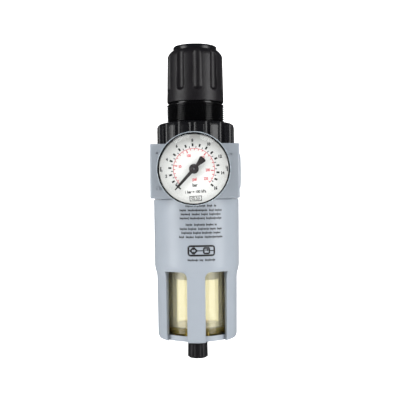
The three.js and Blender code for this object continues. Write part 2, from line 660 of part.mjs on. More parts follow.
function pinionArbor() {
  const halfTooth = 180 / PINION_TEETH;
  const pinion = prism(teeth(PINION_TEETH, 0, PINION_TEETH), 10.9, 12.7)
    .rotateZ(degrees(PIVOT_AT + halfTooth));
  return join(pinion, rod(0.55, 9.4, 20.9, TINY));
}

function hairspring() {
  const turns = 3;
  const inner = 1.1;
  const outer = 3.1;
  const half = 0.1;
  const spiral = (offset) => range(turns * 14 + 1).map((i) => {
    const share = i / (turns * 14);
    return polar(inner + (outer - inner) * share + offset, 360 * turns * share);
  });
  return prism([...spiral(half), ...spiral(-half).reverse()], 12.95, 13.3);
}

function pointer() {
  const hubR = 3.1;
  const length = 18.5;
  const tailReach = 9;
  const bothSides = (half) => [...half, ...half.map(([x, y]) => [-x, y]).reverse()];
  const needle = bothSides([[1.1, -hubR], [1.1, 0], [0.85, 8], [0.45, length]]);
  const fan = bothSides([[1, 0], [1.2, -4], [2.9, -tailReach + 0.8], [1.6, -tailReach]].reverse());
  const blank = join(prism(needle, 19, 19.6), prism(fan, 19, 19.6), rod(hubR, 18.5, 20.3, SMALL));
  return cut(blank, rod(0.75, 18, 21, TINY)).rotateZ(degrees(ZERO_TURN));
}

piece(gauge, "gauge_socket", gaugeSocket(), BRASS);
piece(gauge, "gauge_washer", tube(5.2, 8.6, 0.15, 0.95, SMALL), RUBBER);
piece(gauge, "gauge_case", gaugeCase(), BLACK);
piece(gauge, "gauge_window", gaugeWindow(), CLEAR);
piece(gauge, "gauge_dial", tube(1.3, DIAL_R, DIAL_AT, DIAL_AT + 0.6, ROUND), WHITE);
piece(gauge, "bourdon_tube", bourdonTube(), BRASS);
piece(gauge, "bourdon_tip", bourdonTip(), BRASS);
piece(gauge, "movement_rear_plate", movementPlate(9.3, 10.1), BRASS);
piece(gauge, "movement_front_plate", movementPlate(13.6, 14.4), BRASS);
[[3.4, 3.1], [-8.6, -12.9]].forEach(([x, y], i) => {
  piece(gauge, `movement_spacer_${i + 1}`, rod(0.9, 10.3, 13.4, TINY).translate(x, y, 0), BRASS);
});
piece(gauge, "sector_gear", sectorGear(), BRASS);
piece(gauge, "movement_link", link(), BRASS);
piece(gauge, "pinion_arbor", pinionArbor(), STEEL);
piece(gauge, "hairspring", hairspring(), STEEL);
piece(gauge, "gauge_pointer", pointer(), BLACK);

export default filterRegulator;
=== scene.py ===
"""Looks for the compressed-air filter-regulator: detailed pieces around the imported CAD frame.

Shapes are written in millimetres in the CAD frame and scaled to metres as each mesh is made.
"""

import json
import math

import bmesh
import bpy
import numpy as np
from mathutils import Matrix, Vector


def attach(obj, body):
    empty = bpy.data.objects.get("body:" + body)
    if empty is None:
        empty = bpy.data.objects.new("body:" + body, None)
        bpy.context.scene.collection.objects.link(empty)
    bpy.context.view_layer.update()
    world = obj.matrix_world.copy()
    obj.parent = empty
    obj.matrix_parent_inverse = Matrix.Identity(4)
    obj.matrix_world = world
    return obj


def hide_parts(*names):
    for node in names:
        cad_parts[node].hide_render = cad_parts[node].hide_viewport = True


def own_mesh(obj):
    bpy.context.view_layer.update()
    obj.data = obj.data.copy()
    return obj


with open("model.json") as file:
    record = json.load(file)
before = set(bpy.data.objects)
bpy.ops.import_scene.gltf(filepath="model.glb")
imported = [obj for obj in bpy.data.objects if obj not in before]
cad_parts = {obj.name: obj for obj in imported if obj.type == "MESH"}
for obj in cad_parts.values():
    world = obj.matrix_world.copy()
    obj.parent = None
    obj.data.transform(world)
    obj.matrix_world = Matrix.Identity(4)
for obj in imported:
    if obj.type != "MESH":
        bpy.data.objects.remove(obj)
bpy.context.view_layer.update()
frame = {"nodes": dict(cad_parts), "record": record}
nodes = frame["nodes"]

MM = 0.001
FRONT = -90.0  # direction of the gauge side, in degrees about the vertical axis
BODY_HALF = 31.25  # half the body's depth
BODY_HALF_X = 31.6  # half its width

# ---- Materials ----


def srgb(red, green, blue):
    """A display colour, 0 to 255, as the linear colour that shaders take."""
    values = [c / 255 for c in (red, green, blue)]
    return [v / 12.92 if v <= 0.04045 else ((v + 0.055) / 1.055) ** 2.4 for v in values] + [1.0]


class Nodes:
    """A short way to write a material's node tree."""

    def __init__(self, name):
        self.material = bpy.data.materials.new(name)
        self.material.use_nodes = True
        self.tree = self.material.node_tree
        self.shader = self.tree.nodes["Principled BSDF"]
        self.place = self.add("ShaderNodeTexCoord").outputs["Object"]

    def add(self, kind, **values):
        node = self.tree.nodes.new(kind)
        for key, value in values.items():
            setattr(node, key, value)
        return node

    def link(self, output, socket):
        self.tree.links.new(output, socket)

    def noise(self, size_mm, detail=3.0, roughness=0.55, stretch=(1, 1, 1)):
        """Noise whose features are about size_mm across."""
        mapping = self.add("ShaderNodeMapping")
        mapping.inputs["Scale"].default_value = stretch
        self.link(self.place, mapping.inputs["Vector"])
        texture = self.add("ShaderNodeTexNoise")
        texture.inputs["Scale"].default_value = 1000.0 / size_mm
        texture.inputs["Detail"].default_value = detail
        texture.inputs["Roughness"].default_value = roughness
        self.link(mapping.outputs["Vector"], texture.inputs["Vector"])
        return texture.outputs["Fac"]

    def span(self, value, low, high, start=0.3, end=0.7):
        """A noise value between start and end becomes a number from low to high."""
        node = self.add("ShaderNodeMapRange")
        node.inputs["From Min"].default_value = start
        node.inputs["From Max"].default_value = end
        node.inputs["To Min"].default_value = low
        node.inputs["To Max"].default_value = high
        self.link(value, node.inputs["Value"])
        return node.outputs["Result"]

    def ramp(self, value, *stops):
        """A noise value coloured by (position, colour) stops."""
        node = self.add("ShaderNodeValToRGB")
        ramp = node.color_ramp
        while len(ramp.elements) < len(stops):
            ramp.elements.new(0.5)
        for element, (position, colour) in zip(ramp.elements, stops):
            element.position = position
            element.color = colour
        self.link(value, node.inputs["Fac"])
        return node.outputs["Color"]

    def bump(self, *layers):
        """Bump layers of (height value, depth in millimetres), laid over each other."""
        normal = None
        for height, depth in layers:
            node = self.add("ShaderNodeBump")
            node.inputs["Strength"].default_value = 1.0
            node.inputs["Distance"].default_value = depth * MM
            self.link(height, node.inputs["Height"])
            if normal is not None:
                self.link(normal, node.inputs["Normal"])
            normal = node.outputs["Normal"]
        self.link(normal, self.shader.inputs["Normal"])

    def set(self, **values):
        for key, value in values.items():
            self.shader.inputs[key.replace("_", " ")].default_value = value


def shade(colour, factor):
    return [c * factor for c in colour[:3]] + [1.0]


def plastic(name, colour, roughness, grain_mm=0.35, grain_depth=0.012, variation=0.05, specular=0.5):
    """Moulded plastic: a fine spark-eroded grain, slow flow marks and slightly uneven gloss."""
    made = Nodes(name)
    clouds = made.noise(14, detail=5)
    made.link(
        made.ramp(clouds, (0.3, shade(colour, 1 - variation)), (0.7, shade(colour, 1 + variation))),
        made.shader.inputs["Base Color"],
    )
    grain = made.noise(grain_mm, detail=2)
    scuffs = made.noise(5, detail=6, roughness=0.7)
    made.link(made.span(scuffs, roughness - 0.05, roughness + 0.07), made.shader.inputs["Roughness"])
    made.bump((made.noise(9, detail=2), 0.03), (grain, grain_depth))
    made.set(Specular_IOR_Level=specular)
    return made.material


def metal(name, colour, roughness, stretch=(1, 1, 14), scratch_depth=0.004, dull=0.12):
    """Turned or drawn metal: fine lines along one direction and patches where it has dulled."""
    made = Nodes(name)
    patches = made.noise(6, detail=6)
    made.link(
        made.ramp(patches, (0.3, shade(colour, 1 - dull)), (0.7, shade(colour, 1 + 0.4 * dull))),
        made.shader.inputs["Base Color"],
    )
    lines = made.noise(0.6, detail=4, stretch=stretch)
    made.link(made.span(lines, roughness - 0.06, roughness + 0.1), made.shader.inputs["Roughness"])
    made.bump((lines, scratch_depth))
    made.set(Metallic=1.0)
    return made.material


def see_through(name, colour, roughness, ior, haze_mm=3.0, haze=0.04, clear=1.0, gloss=1.0):
    """Clear plastic with a faint haze and moulding waviness.

    clear is the share of light let through, and gloss scales its reflections.
    """
    made = Nodes(name)
    clouds = made.noise(haze_mm, detail=5)
    made.link(
        made.ramp(clouds, (0.25, shade(colour, 0.97)), (0.75, colour)), made.shader.inputs["Base Color"]
    )
    made.link(made.span(clouds, roughness, roughness + haze), made.shader.inputs["Roughness"])
    made.bump((made.noise(11, detail=1), 0.015))
    made.set(Transmission_Weight=clear, IOR=ior)
    made.set(Specular_IOR_Level=0.5 * gloss, Specular_Tint=(gloss, gloss, gloss, 1))
    return made.material


def absorb(material, colour, density):
    """Tints clear plastic by the length of the light's way through it."""
    tree = material.node_tree
    volume = tree.nodes.new("ShaderNodeVolumeAbsorption")
    volume.inputs["Color"].default_value = colour
    volume.inputs["Density"].default_value = density
    tree.links.new(volume.outputs["Volume"], tree.nodes["Material Output"].inputs["Volume"])


def deepen(material, *stops):
    """Multiplies the base colour by height: (height in mm, colour) stops, lowest first."""
    tree = material.node_tree
    shader = tree.nodes["Principled BSDF"]
    plain = shader.inputs["Base Color"].links[0].from_socket
    place = tree.nodes.new("ShaderNodeTexCoord")
    parts = tree.nodes.new("ShaderNodeSeparateXYZ")
    tree.links.new(place.outputs["Object"], parts.inputs["Vector"])
    low, high = stops[0][0], stops[-1][0]
    share = tree.nodes.new("ShaderNodeMapRange")
    share.inputs["From Min"].default_value = low * MM
    share.inputs["From Max"].default_value = high * MM
    tree.links.new(parts.outputs["Z"], share.inputs["Value"])
    ramp = tree.nodes.new("ShaderNodeValToRGB")
    ramp.color_ramp.elements.new(0.5)
    for element, (height, colour) in zip(ramp.color_ramp.elements, stops):
        element.position = (height - low) / (high - low)
        element.color = colour
    tree.links.new(share.outputs["Result"], ramp.inputs["Fac"])
    mix = tree.nodes.new("ShaderNodeMix")
    mix.data_type = "RGBA"
    mix.blend_type = "MULTIPLY"
    mix.inputs["Factor"].default_value = 1.0
    first_colour, second_colour, product = mix.inputs[6], mix.inputs[7], mix.outputs[2]
    tree.links.new(plain, first_colour)
    tree.links.new(ramp.outputs["Color"], second_colour)
    tree.links.new(product, shader.inputs["Base Color"])


def rubber():
    made = Nodes("rubber_black")
    colour = srgb(26, 26, 27)
    dust = made.noise(2.0, detail=7)
    made.link(made.ramp(dust, (0.4, colour), (0.8, srgb(46, 45, 44))), made.shader.inputs["Base Color"])
    made.link(made.span(dust, 0.6, 0.8), made.shader.inputs["Roughness"])
    made.bump((made.noise(0.3), 0.02))
    return made.material


def porous():
    made = Nodes("sintered_white")
    beads = made.add("ShaderNodeTexVoronoi")
    beads.inputs["Scale"].default_value = 1000 / 0.35
    made.link(made.place, beads.inputs["Vector"])
    distance = beads.outputs["Distance"]
    # The colour darkens from each bead's middle towards its edge, where the bump sinks between the beads:
    # painted shade in the pores.
    made.link(
        made.ramp(distance, (0.0, srgb(240, 236, 224)), (0.8, srgb(190, 184, 168))),
        made.shader.inputs["Base Color"],
    )
    made.bump((distance, -0.12))
    made.set(Roughness=0.85)
    return made.material


def print_ink(name, colour):
    """Screen-printed ink: a little uneven in tone, and matt."""
    made = Nodes(name)
    blotches = made.noise(0.5, detail=4)
    made.link(made.ramp(blotches, (0.3, shade(colour, 0.8)), (0.7, colour)), made.shader.inputs["Base Color"])
    made.link(made.span(blotches, 0.5, 0.65), made.shader.inputs["Roughness"])
    return made.material


GREY = plastic("moulded_grey", srgb(146, 153, 161), 0.38, grain_depth=0.006, variation=0.02)
BLACK = plastic(
    "moulded_black", srgb(17, 15, 18), 0.44, grain_mm=0.5, grain_depth=0.05, variation=0.2, specular=0.34
)
SHEEN_BLACK = plastic("satin_black", srgb(15, 15, 18), 0.26, grain_depth=0.006, variation=0.1, specular=0.3)
GLOSS = plastic("gloss_black", srgb(7, 7, 8), 0.16, grain_depth=0.002, variation=0.1, specular=0.3)
WHITE = plastic("moulded_white", srgb(226, 226, 220), 0.5, grain_depth=0.01, variation=0.03)
BOWL = see_through("bowl_amber", srgb(246, 242, 218), 0.03, 1.58, clear=0.8, gloss=0.3)
absorb(BOWL, srgb(252, 240, 150), 26.0)
deepen(BOWL, (-119.0, srgb(186, 166, 92)), (-113.6, srgb(214, 202, 148)), (-112.6, srgb(255, 255, 255)))
FROST = see_through("window_skirt", srgb(176, 186, 194), 0.25, 1.45, clear=0.35)
CRYSTAL = see_through("gauge_clear", srgb(252, 253, 253), 0.0, 1.45, haze=0.01)
BRASS = metal("turned_brass", srgb(203, 172, 105), 0.28)
STEEL = metal("plated_steel", srgb(176, 178, 180), 0.3)
SPRING = metal("spring_wire", srgb(120, 120, 122), 0.35, stretch=(1, 1, 1))
RUBBER = rubber()
POROUS = porous()
DIAL = plastic("dial_white", srgb(216, 216, 213), 0.55, grain_depth=0.002, variation=0.01)
INK_BLACK = print_ink("ink_black", srgb(20, 18, 19))
INK_RED = print_ink("ink_red", srgb(206, 62, 74))
INK_GREY = print_ink("ink_grey", srgb(70, 74, 80))
POINTER = plastic("pointer_black", srgb(20, 12, 13), 0.5, grain_depth=0.004, variation=0.1)
BY_SLOT = {
    "grey_plastic": GREY,
    "black_plastic": BLACK,
    "gloss_black": GLOSS,
    "bowl_plastic": BOWL,
    "clear_plastic": CRYSTAL,
    "white_plastic": WHITE,
    "porous_plastic": POROUS,
    "brass": BRASS,
    "steel": STEEL,
    "spring_steel": SPRING,
    "rubber": RUBBER,
    "dial_white": DIAL,
    "pointer_black": POINTER,
}

# ---- Mesh tools ----


def new_piece(name, points, faces):
    """A mesh object from points in millimetres."""
    mesh = bpy.data.meshes.new(name)
    mesh.from_pydata((np.asarray(points, float) * MM).tolist(), [], faces)
    mesh.validate()
    made = bpy.data.objects.new(name, mesh)
    bpy.context.scene.collection.objects.link(made)
    return made


def tidy(piece, merge_mm=1e-3):
    """Merges doubled points and turns every face outwards."""
    work = bmesh.new()
    work.from_mesh(piece.data)
    bmesh.ops.remove_doubles(work, verts=work.verts, dist=merge_mm * MM)
    bmesh.ops.dissolve_degenerate(work, edges=work.edges, dist=merge_mm * MM)
    bmesh.ops.recalc_face_normals(work, faces=work.faces)
    work.to_mesh(piece.data)
    work.free()
    return piece


def rounded(corners, steps=4):
    """A closed outline of (r, z) or (r, z, fillet radius) corners, with its fillets drawn in."""
    outline = []
    count = len(corners)
    for i, corner in enumerate(corners):
        here = np.array(corner[:2], float)
        if len(corner) == 2:
            outline.append(tuple(here))
            continue
        before = np.array(corners[i - 1][:2], float) - here
        after = np.array(corners[(i + 1) % count][:2], float) - here
        length_before, length_after = np.linalg.norm(before), np.linalg.norm(after)
        cosine = np.dot(before, after) / (length_before * length_after)
        half = math.acos(max(-1.0, min(1.0, cosine))) / 2
        back = min(corner[2] / math.tan(half), 0.48 * length_before, 0.48 * length_after)
        start = here + before / length_before * back
        end = here + after / length_after * back
        for k in range(steps + 1):
            t = k / steps
            outline.append(tuple((1 - t) ** 2 * start + 2 * t * (1 - t) * here + t**2 * end))
    return outline


def turned(name, outline, columns=96, shape=None):
    """A closed outline of (r, z) turned about the vertical axis. shape(r, z, angle) may change the radius."""
    r = np.array([p[0] for p in outline])[:, None]
    z = np.array([p[1] for p in outline])[:, None]
    angle = (np.arange(columns) * 2 * math.pi / columns)[None, :]
    radius = np.broadcast_to(r, (len(outline), columns)).copy()
    if shape is not None:
        radius = shape(radius, np.broadcast_to(z, radius.shape), np.broadcast_to(angle, radius.shape))
    points = np.stack(
        [radius * np.cos(angle), radius * np.sin(angle), np.broadcast_to(z, radius.shape)], axis=-1
    ).reshape(-1, 3)
    rows = len(outline)
    faces = []
    for i in range(rows):
        a, b = i * columns, ((i + 1) % rows) * columns
        for j in range(columns):
            k = (j + 1) % columns
            faces.append((a + j, a + k, b + k, b + j))
    return tidy(new_piece(name, points, faces))


def rectangle(width, height, x=0.0, y=0.0):
    """The corners of an upright rectangle centred at (x, y)."""
    w, h = width / 2, height / 2
    return [(x - w, y - h), (x + w, y - h), (x + w, y + h), (x - w, y + h)]


def prism(name, outline, low, high):
    """A flat outline of (x, y) raised from low to high."""
    count = len(outline)
    points = [(x, y, low) for x, y in outline] + [(x, y, high) for x, y in outline]
    faces = [tuple(range(count)), tuple(range(count, 2 * count))]
    faces += [(i, (i + 1) % count, count + (i + 1) % count, count + i) for i in range(count)]
    return tidy(new_piece(name, points, faces))


def arc(radius, start, end, steps, centre=(0, 0)):
    """Points of (x, y) on an arc, in degrees."""
    angles = np.radians(np.linspace(start, end, steps + 1))
    return [(centre[0] + radius * math.cos(a), centre[1] + radius * math.sin(a)) for a in angles]


def placed(piece, *matrices):
    """Turns and moves a mesh, in millimetres, in the order given."""
    for matrix in matrices:
        piece.data.transform(matrix)
    return piece


def turn(axis, degrees):
    return Matrix.Rotation(math.radians(degrees), 4, axis)


def move(x, y, z):
    return Matrix.Translation((x * MM, y * MM, z * MM))


def evaluated(piece):
    """The mesh with its modifiers applied."""
    graph = bpy.context.evaluated_depsgraph_get()
    mesh = bpy.data.meshes.new_from_object(piece.evaluated_get(graph))
    piece.modifiers.clear()
    old = piece.data
    piece.data = mesh
    bpy.data.meshes.remove(old)
    return piece


def combine(base, operation, *tools):
    """Cuts tools from a piece, or joins them to it."""
    for tool in tools:
        modifier = base.modifiers.new("Combine", "BOOLEAN")
        modifier.object = tool
        modifier.operation = operation
        modifier.solver = "EXACT"
        evaluated(base)
        bpy.data.objects.remove(tool)
    return base


def join_pieces(name, pieces):
    """Several separate meshes as one piece."""
    points, faces = [], []
    for piece in pieces:
        start = len(points)
        points += [v.co / MM for v in piece.data.vertices]
        faces += [tuple(start + i for i in p.vertices) for p in piece.data.polygons]
        bpy.data.objects.remove(piece)
    return new_piece(name, [tuple(p) for p in points], faces)


def soften_edges(piece, width_mm, angle=38, segments=2):
    """Breaks the sharp edges of a piece as a mould or a tool leaves them."""
    modifier = piece.modifiers.new("Edges", "BEVEL")
    modifier.width = width_mm * MM
    modifier.segments = segments
    modifier.limit_method = "ANGLE"
    modifier.angle_limit = math.radians(angle)
    modifier.miter_outer = "MITER_ARC"
    return evaluated(piece)


def dress(piece, body, slot, material=None, stands_for=(), smooth=32):
    """Finish, shading and the body that a piece moves with."""
    piece.data.materials.clear()
    piece.data.materials.append(material or BY_SLOT[slot])
    piece.data.shade_smooth()
    piece.data.set_sharp_from_angle(angle=math.radians(smooth))
    weighted = piece.modifiers.new("Weighted", "WEIGHTED_NORMAL")
    weighted.keep_sharp = True
    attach(piece, body)
    if stands_for:
        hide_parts(*stands_for)
    return piece


def soft_min(a, b, width):
    """The smaller of two distances, with the corner between them rounded."""
    share = np.clip(0.5 + 0.5 * (b - a) / width, 0, 1)
    return b * (1 - share) + a * share - width * share * (1 - share)


def smooth_step(value, start, end):
    t = np.clip((value - start) / (end - start), 0, 1)
    return t * t * (3 - 2 * t)


def thread(major, pitch, depth, low, high, runout=1.2, inside=False, start=0.0):
    """A shape for turned(): a right-hand thread on the wall that stands at the major radius.

    start, in turns, is where round the axis the thread begins.
    """

    def shape(r, z, angle):
        phase = z / pitch - angle / (2 * math.pi) - start
        wave = np.abs(2 * (phase - np.floor(phase)) - 1)
        cut = depth * np.clip((wave - 0.1) / 0.75, 0, 1)
        fade = smooth_step(z, low, low + runout) * (1 - smooth_step(z, high - runout, high))
        on_wall = np.abs(r - major) < 1e-6
        side = 1 if inside else -1
        return np.where(on_wall, r + side * cut * fade, r)

    return shape


def wall(radius, low, high, step):
    """Closely spaced outline points up a wall, for a thread or a grip to be cut into."""
    count = max(2, int(round((high - low) / step)))
    return [(radius, low + (high - low) * i / count) for i in range(count + 1)]


def scallops(count, first, cutter_r, cutter_at, soften, foot=None, foot_length=1.0):
    """A shape for turned(): round grooves down the outside, which may end in a round foot.

    foot_length is the foot's length as a share of the groove's radius.
    """

    def shape(r, z, angle):
        step = 2 * math.pi / count
        offset = (angle - math.radians(first) + step / 2) % step - step / 2
        reach = cutter_r**2 - (cutter_at * np.sin(offset)) ** 2
        if foot is not None:
            reach = reach - (np.clip(foot - z, 0, None) / foot_length) ** 2
        near = cutter_at * np.cos(offset) - np.sqrt(np.clip(reach, 0, None))
        cut = np.where(reach > 0, near, cutter_at + 5 + 0 * r)
        return np.where(r > cutter_at - cutter_r - 2, np.minimum(r, soft_min(r, cut, soften)), r)

    return shape


# ---- Knob and cap ----
KNOB_BOTTOM = 50.6
KNOB_TOP = 88.9
FLUTE_FOOT = 61.3


def knob():
    bore, socket_top = 16.1, 80.6
    outline = rounded([
        (bore, socket_top), (bore, KNOB_BOTTOM + 2.4), (19.7, KNOB_BOTTOM + 2.4), (19.7, KNOB_BOTTOM, 0.2),
        (20.95, KNOB_BOTTOM, 0.5),
    ])
    outline += [(20.93 - 0.6 * (z - 51.6) / 32.6, z) for z in np.arange(51.6, 84.2, 0.35)]
    outline += rounded([
        (20.33, 84.3), (19.8, 86.0, 1.5), (18.1, 88.1, 1.0), (16.9, KNOB_TOP, 0.2), (16.4, KNOB_TOP, 0.1),
        (16.4, KNOB_TOP - 1.9), (0, KNOB_TOP - 1.9), (0, socket_top),
    ])
    flutes = scallops(10, FRONT + 6.3, 4.05, 22.9, 0.25, foot=FLUTE_FOOT, foot_length=0.85)
    shell = turned("knob_shell", outline, 600, flutes)
    return dress(shell, "knob", "black_plastic", stands_for=["adjusting_knob"])


def cap():
    low, top = KNOB_TOP - 1.9, 92.2
    outline = rounded([
        (0, low), (16.1, low), (16.1, top - 1.3, 0.2), (15.75, top - 1.1, 0.1), (16.1, top - 0.9, 0.2),
        (15.9, top - 0.1, 0.3), (15.0, top, 0.2), (14.0, top - 0.5, 0.3), (0, top - 0.5),
    ])
    return dress(turned("knob_cap_disc", outline, 160), "knob", "black_plastic", SHEEN_BLACK, ["knob_cap"])


knob()
cap()

# ---- Bonnet and panel nut ----
THREAD_R = 21.1
THREAD_TOP = 48.8


def bonnet():
    pitch, depth = 1.5, 1.0
    low, top = 13.6, 80.0
    outline = [(19.2, low), (23.6, low), (23.6, 17.8), (THREAD_R - 0.9, 17.8)]
    outline += wall(THREAD_R, 18.0, THREAD_TOP, 0.125)
    outline += rounded([
        (THREAD_R - 0.9, THREAD_TOP + 0.1), (18.8, THREAD_TOP + 0.5, 0.4), (18.8, 51.3, 0.3),
        (15.5, 51.5, 0.3), (15.5, top, 0.4), (6.5, top, 0.2), (6.5, top - 3), (12.6, top - 3), (12.6, 30),
        (19.2, 24),
    ])
    ridges = thread(THREAD_R, pitch, depth, 17.0, THREAD_TOP, 0.8, start=0.16)
    made = turned("bonnet_threaded", outline, 180, ridges)
    return dress(made, "housing", "gloss_black", stands_for=["bonnet"], smooth=50)


def panel_nut():
    low, top = 19.1, 35.8
    outline = rounded([(21.4, top - 0.9), (21.4, low), (27.9, low, 0.3), (28.6, low + 0.7, 0.3)])
    outline += wall(28.6, low + 1.2, 32.4, 0.8)
    outline += rounded([
        (28.5, 32.9, 0.6), (27.9, 33.9, 0.6), (26.5, 34.9, 0.6), (24.0, 35.5, 0.8), (22.6, top, 0.4),
        (21.9, top, 0.2),
    ])
    grooves = scallops(16, FRONT - 3.0, 3.3, 29.9, 0.35)
    made = turned("panel_ring_nut", outline, 768, grooves)
    return dress(made, "panel_nut", "black_plastic", SHEEN_BLACK, ["panel_nut"])


bonnet()
panel_nut()

# ---- Ported body ----
BODY_LOW = -19.8
BODY_HIGH = 18.7
PORT_FACE = 33.0


def rounded_block(inset, radius, steps=7):
    """The body's outline from above, drawn in by the inset."""
    points = []
    for corner, (sx, sy) in enumerate([(1, 1), (-1, 1), (-1, -1), (1, -1)]):
        centre = (sx * (BODY_HALF_X - inset - radius), sy * (BODY_HALF - inset - radius))
        points += arc(radius, corner * 90, corner * 90 + 90, steps, centre)
    return points


def stacked(name, outlines):
    """A solid from outlines with the same number of points, each (points of (x, y), z)."""
    count = len(outlines[0][0])
    points = [(x, y, z) for outline, z in outlines for x, y in outline]
    faces = [tuple(range(count)), tuple(range(len(points) - count, len(points)))]
    for i in range(len(outlines) - 1):
        a, b = i * count, (i + 1) * count
        faces += [(a + j, a + (j + 1) % count, b + (j + 1) % count, b + j) for j in range(count)]
    return tidy(new_piece(name, points, faces))


def block_shell():
    edge = 1.4
    rings = []
    for radius, level, sign in ((0.9, BODY_LOW, -1), (0.5, BODY_HIGH, 1)):
        steps = 5
        ring = []
        for k in range(steps + 1):
            a = math.radians(90 * k / steps)
            inset = radius * (1 - math.sin(a))
            height = level - sign * radius * (1 - math.cos(a))
            ring.append((rounded_block(inset, edge - inset * 0.8), height))
        rings += ring if sign < 0 else ring[::-1]
    return stacked("ported_body", rings)


def cylinder(name, radius, low, high, columns=64):
    return turned(name, [(0, low), (radius, low), (radius, high), (0, high)], columns)


def ring_tool(name, inner, outer, low, high, columns=64):
    return turned(name, [(inner, low), (outer, low), (outer, high), (inner, high)], columns)


TO_RIGHT = turn("Y", 90)
TO_LEFT = turn("Y", -90)
TO_FRONT = turn("X", 90)
TO_REAR = turn("X", -90)


def ported_body():
    block = block_shell()
    bosses = []
    for side in (TO_RIGHT, TO_LEFT):
        boss = turned("boss", rounded([(0, 20), (12.5, 20), (12.5, PORT_FACE, 0.5), (0, PORT_FACE)]), 128)
        bosses.append(placed(boss, side))
    spigot_wall = wall(26.9, -33.4, -22.0, 0.25)
    spigot = turned(
        "spigot",
        [(0, -34.1), (26.2, -34.1)] + spigot_wall + [(26.0, -21.6), (26.0, -15), (0, -15)],
        144,
        thread(26.9, 2.0, 0.8, -34.0, -21.5),
    )
    shoulder = turned("shoulder", rounded([(0, -20.5), (30.9, -20.5, 0.3), (30.9, -18.0), (0, -18.0)]), 144)
    combine(block, "UNION", *bosses, shoulder, spigot)
    tools = [
        cylinder("tool", 24.0, 11.0, 22, 128),
        cylinder("tool", 19.0, 8.8, 12, 96),
        cylinder("tool", 7.8, -4, 9, 48),
        cylinder("tool", 8.6, -36, -3, 48),
        ring_tool("tool", 11, 23.3, -36, -12, 96),
        cylinder("tool", 23.3, -36, -26, 96),
        placed(cylinder("tool", 4, 0, 9.5, 32), move(14.5, 0, 0)),
        placed(cylinder("tool", 4.4, -13, 0, 32), move(-15.5, 0, 0)),
        placed(cylinder("tool", 1.5, 0, 9.5, 24), move(0, -18.25, 0)),
        placed(cylinder("tool", 1.5, 0, 9.5, 24), move(0, 18.25, 0)),
    ]
    for side in (TO_RIGHT, TO_LEFT):
        tools.append(placed(cylinder("tool", 7.6, 12, 34, 64), side))
        tools.append(placed(cylinder("tool", 9.8, 19.7, 35, 96), side))
    for side in (TO_FRONT, TO_REAR):
        tools.append(placed(cylinder("tool", 5.1, 18.25, 34, 48), side))
    for x, z, radius in ((-26.4, 12.2, 0.75), (25.6, 10.9, 0.6)):
        tools.append(placed(cylinder("tool", radius, 30.2, 33, 24), TO_FRONT, move(x, 0, z)))
    for x in (-26.6, -24.6, -23.6):
        tools.append(placed(prism("tool", rectangle(0.7, 3.0), 30.7, 33), TO_FRONT, move(x, 0, -12.3)))
    combine(block, "DIFFERENCE", *tools)
    soften_edges(block, 0.18, angle=50)
    return dress(block, "housing", "grey_plastic", stands_for=["body_block"])


def port_insert(name, side, node):
    minor, pitch, depth = 8.2, 1.337, 0.72
    outline = rounded([(8.9, 32.9, 0.2), (9.6, 32.9, 0.2), (9.6, 20.0), (7.7, 20.0)])
    outline += wall(minor, 20.2, 32.2, 0.12)
    made = turned(name, outline, 144, thread(minor, pitch, -depth, 19.5, 33.0, 0.7, inside=True))
    return dress(placed(made, side), "housing", "brass", stands_for=[node])


def rear_plug():
    face = BODY_HALF - 0.2
    outline = rounded([(0, face - 8), (4.8, face - 8), (4.8, face, 0.4), (0, face)])
    plug = turned("rear_port_plug", outline, 64)
    socket = placed(cylinder("tool", 2.9, face - 4, face + 2, 6), turn("Z", 30))
    combine(plug, "DIFFERENCE", socket)
    return dress(placed(plug, TO_REAR), "housing", "brass", stands_for=["rear_plug"])


ported_body()
port_insert("inlet_thread_insert", TO_LEFT, "inlet_insert")
port_insert("outlet_thread_insert", TO_RIGHT, "outlet_insert")
rear_plug()

# ---- Bowl guard ----
WINDOW_TOP = -72.0
WINDOW_LOW = -118.0
POST_HALF = 6.4
RING_R = 25.5
FLARE_X = 23.3  # where a window's flared side meets the outside
FLARE_WIDTH, FLARE_DEPTH, FLARE_Y = 3.2, 7.9, -12.8


def mirrored(points, side, front):
    moved = [(x * side, y * front) for x, y in points]
    return moved if side * front > 0 else moved[::-1]


def sight_windows():
    """Cutters for the four sight windows, with flared sides, and for the ring set back below them."""
    tools = []
    radius = 4.5
    quarter = [math.radians(9 * i) for i in range(11)]
    flare = [
        (FLARE_X - FLARE_WIDTH * math.sin(t), FLARE_Y - FLARE_DEPTH * math.cos(t)) for t in quarter
    ]
    corner = arc(radius, 90, 180, 8, (POST_HALF + radius, WINDOW_TOP - radius))
    for side in (1, -1):
        for front in (1, -1):
            plan = [(POST_HALF, -36), (FLARE_X, -36)] + flare + [(18.4, -9), (POST_HALF, -9)]
            plan = mirrored(plan, side, front)
            face = [(POST_HALF, WINDOW_LOW), (36, WINDOW_LOW), (36, WINDOW_TOP)] + corner
            face = [(x * side, z) for x, z in face]
            cutter = prism("cutter", plan, WINDOW_LOW - 2, WINDOW_TOP + 2)
            front_view = placed(prism("front_view", face, -40, 40), TO_FRONT)
            tools.append(combine(cutter, "INTERSECT", front_view))
            ring = cylinder("ring", RING_R, -126, WINDOW_LOW + 2, 160)
            tools.append(combine(prism("set_back", plan, -124, WINDOW_LOW + 0.6), "DIFFERENCE", ring))
            foot = mirrored([(POST_HALF, -36), (20.4, -36), (20.4, -7), (POST_HALF, -7)], side, front)
            tools.append(prism("foot", foot, -124, -121.8))
    return tools


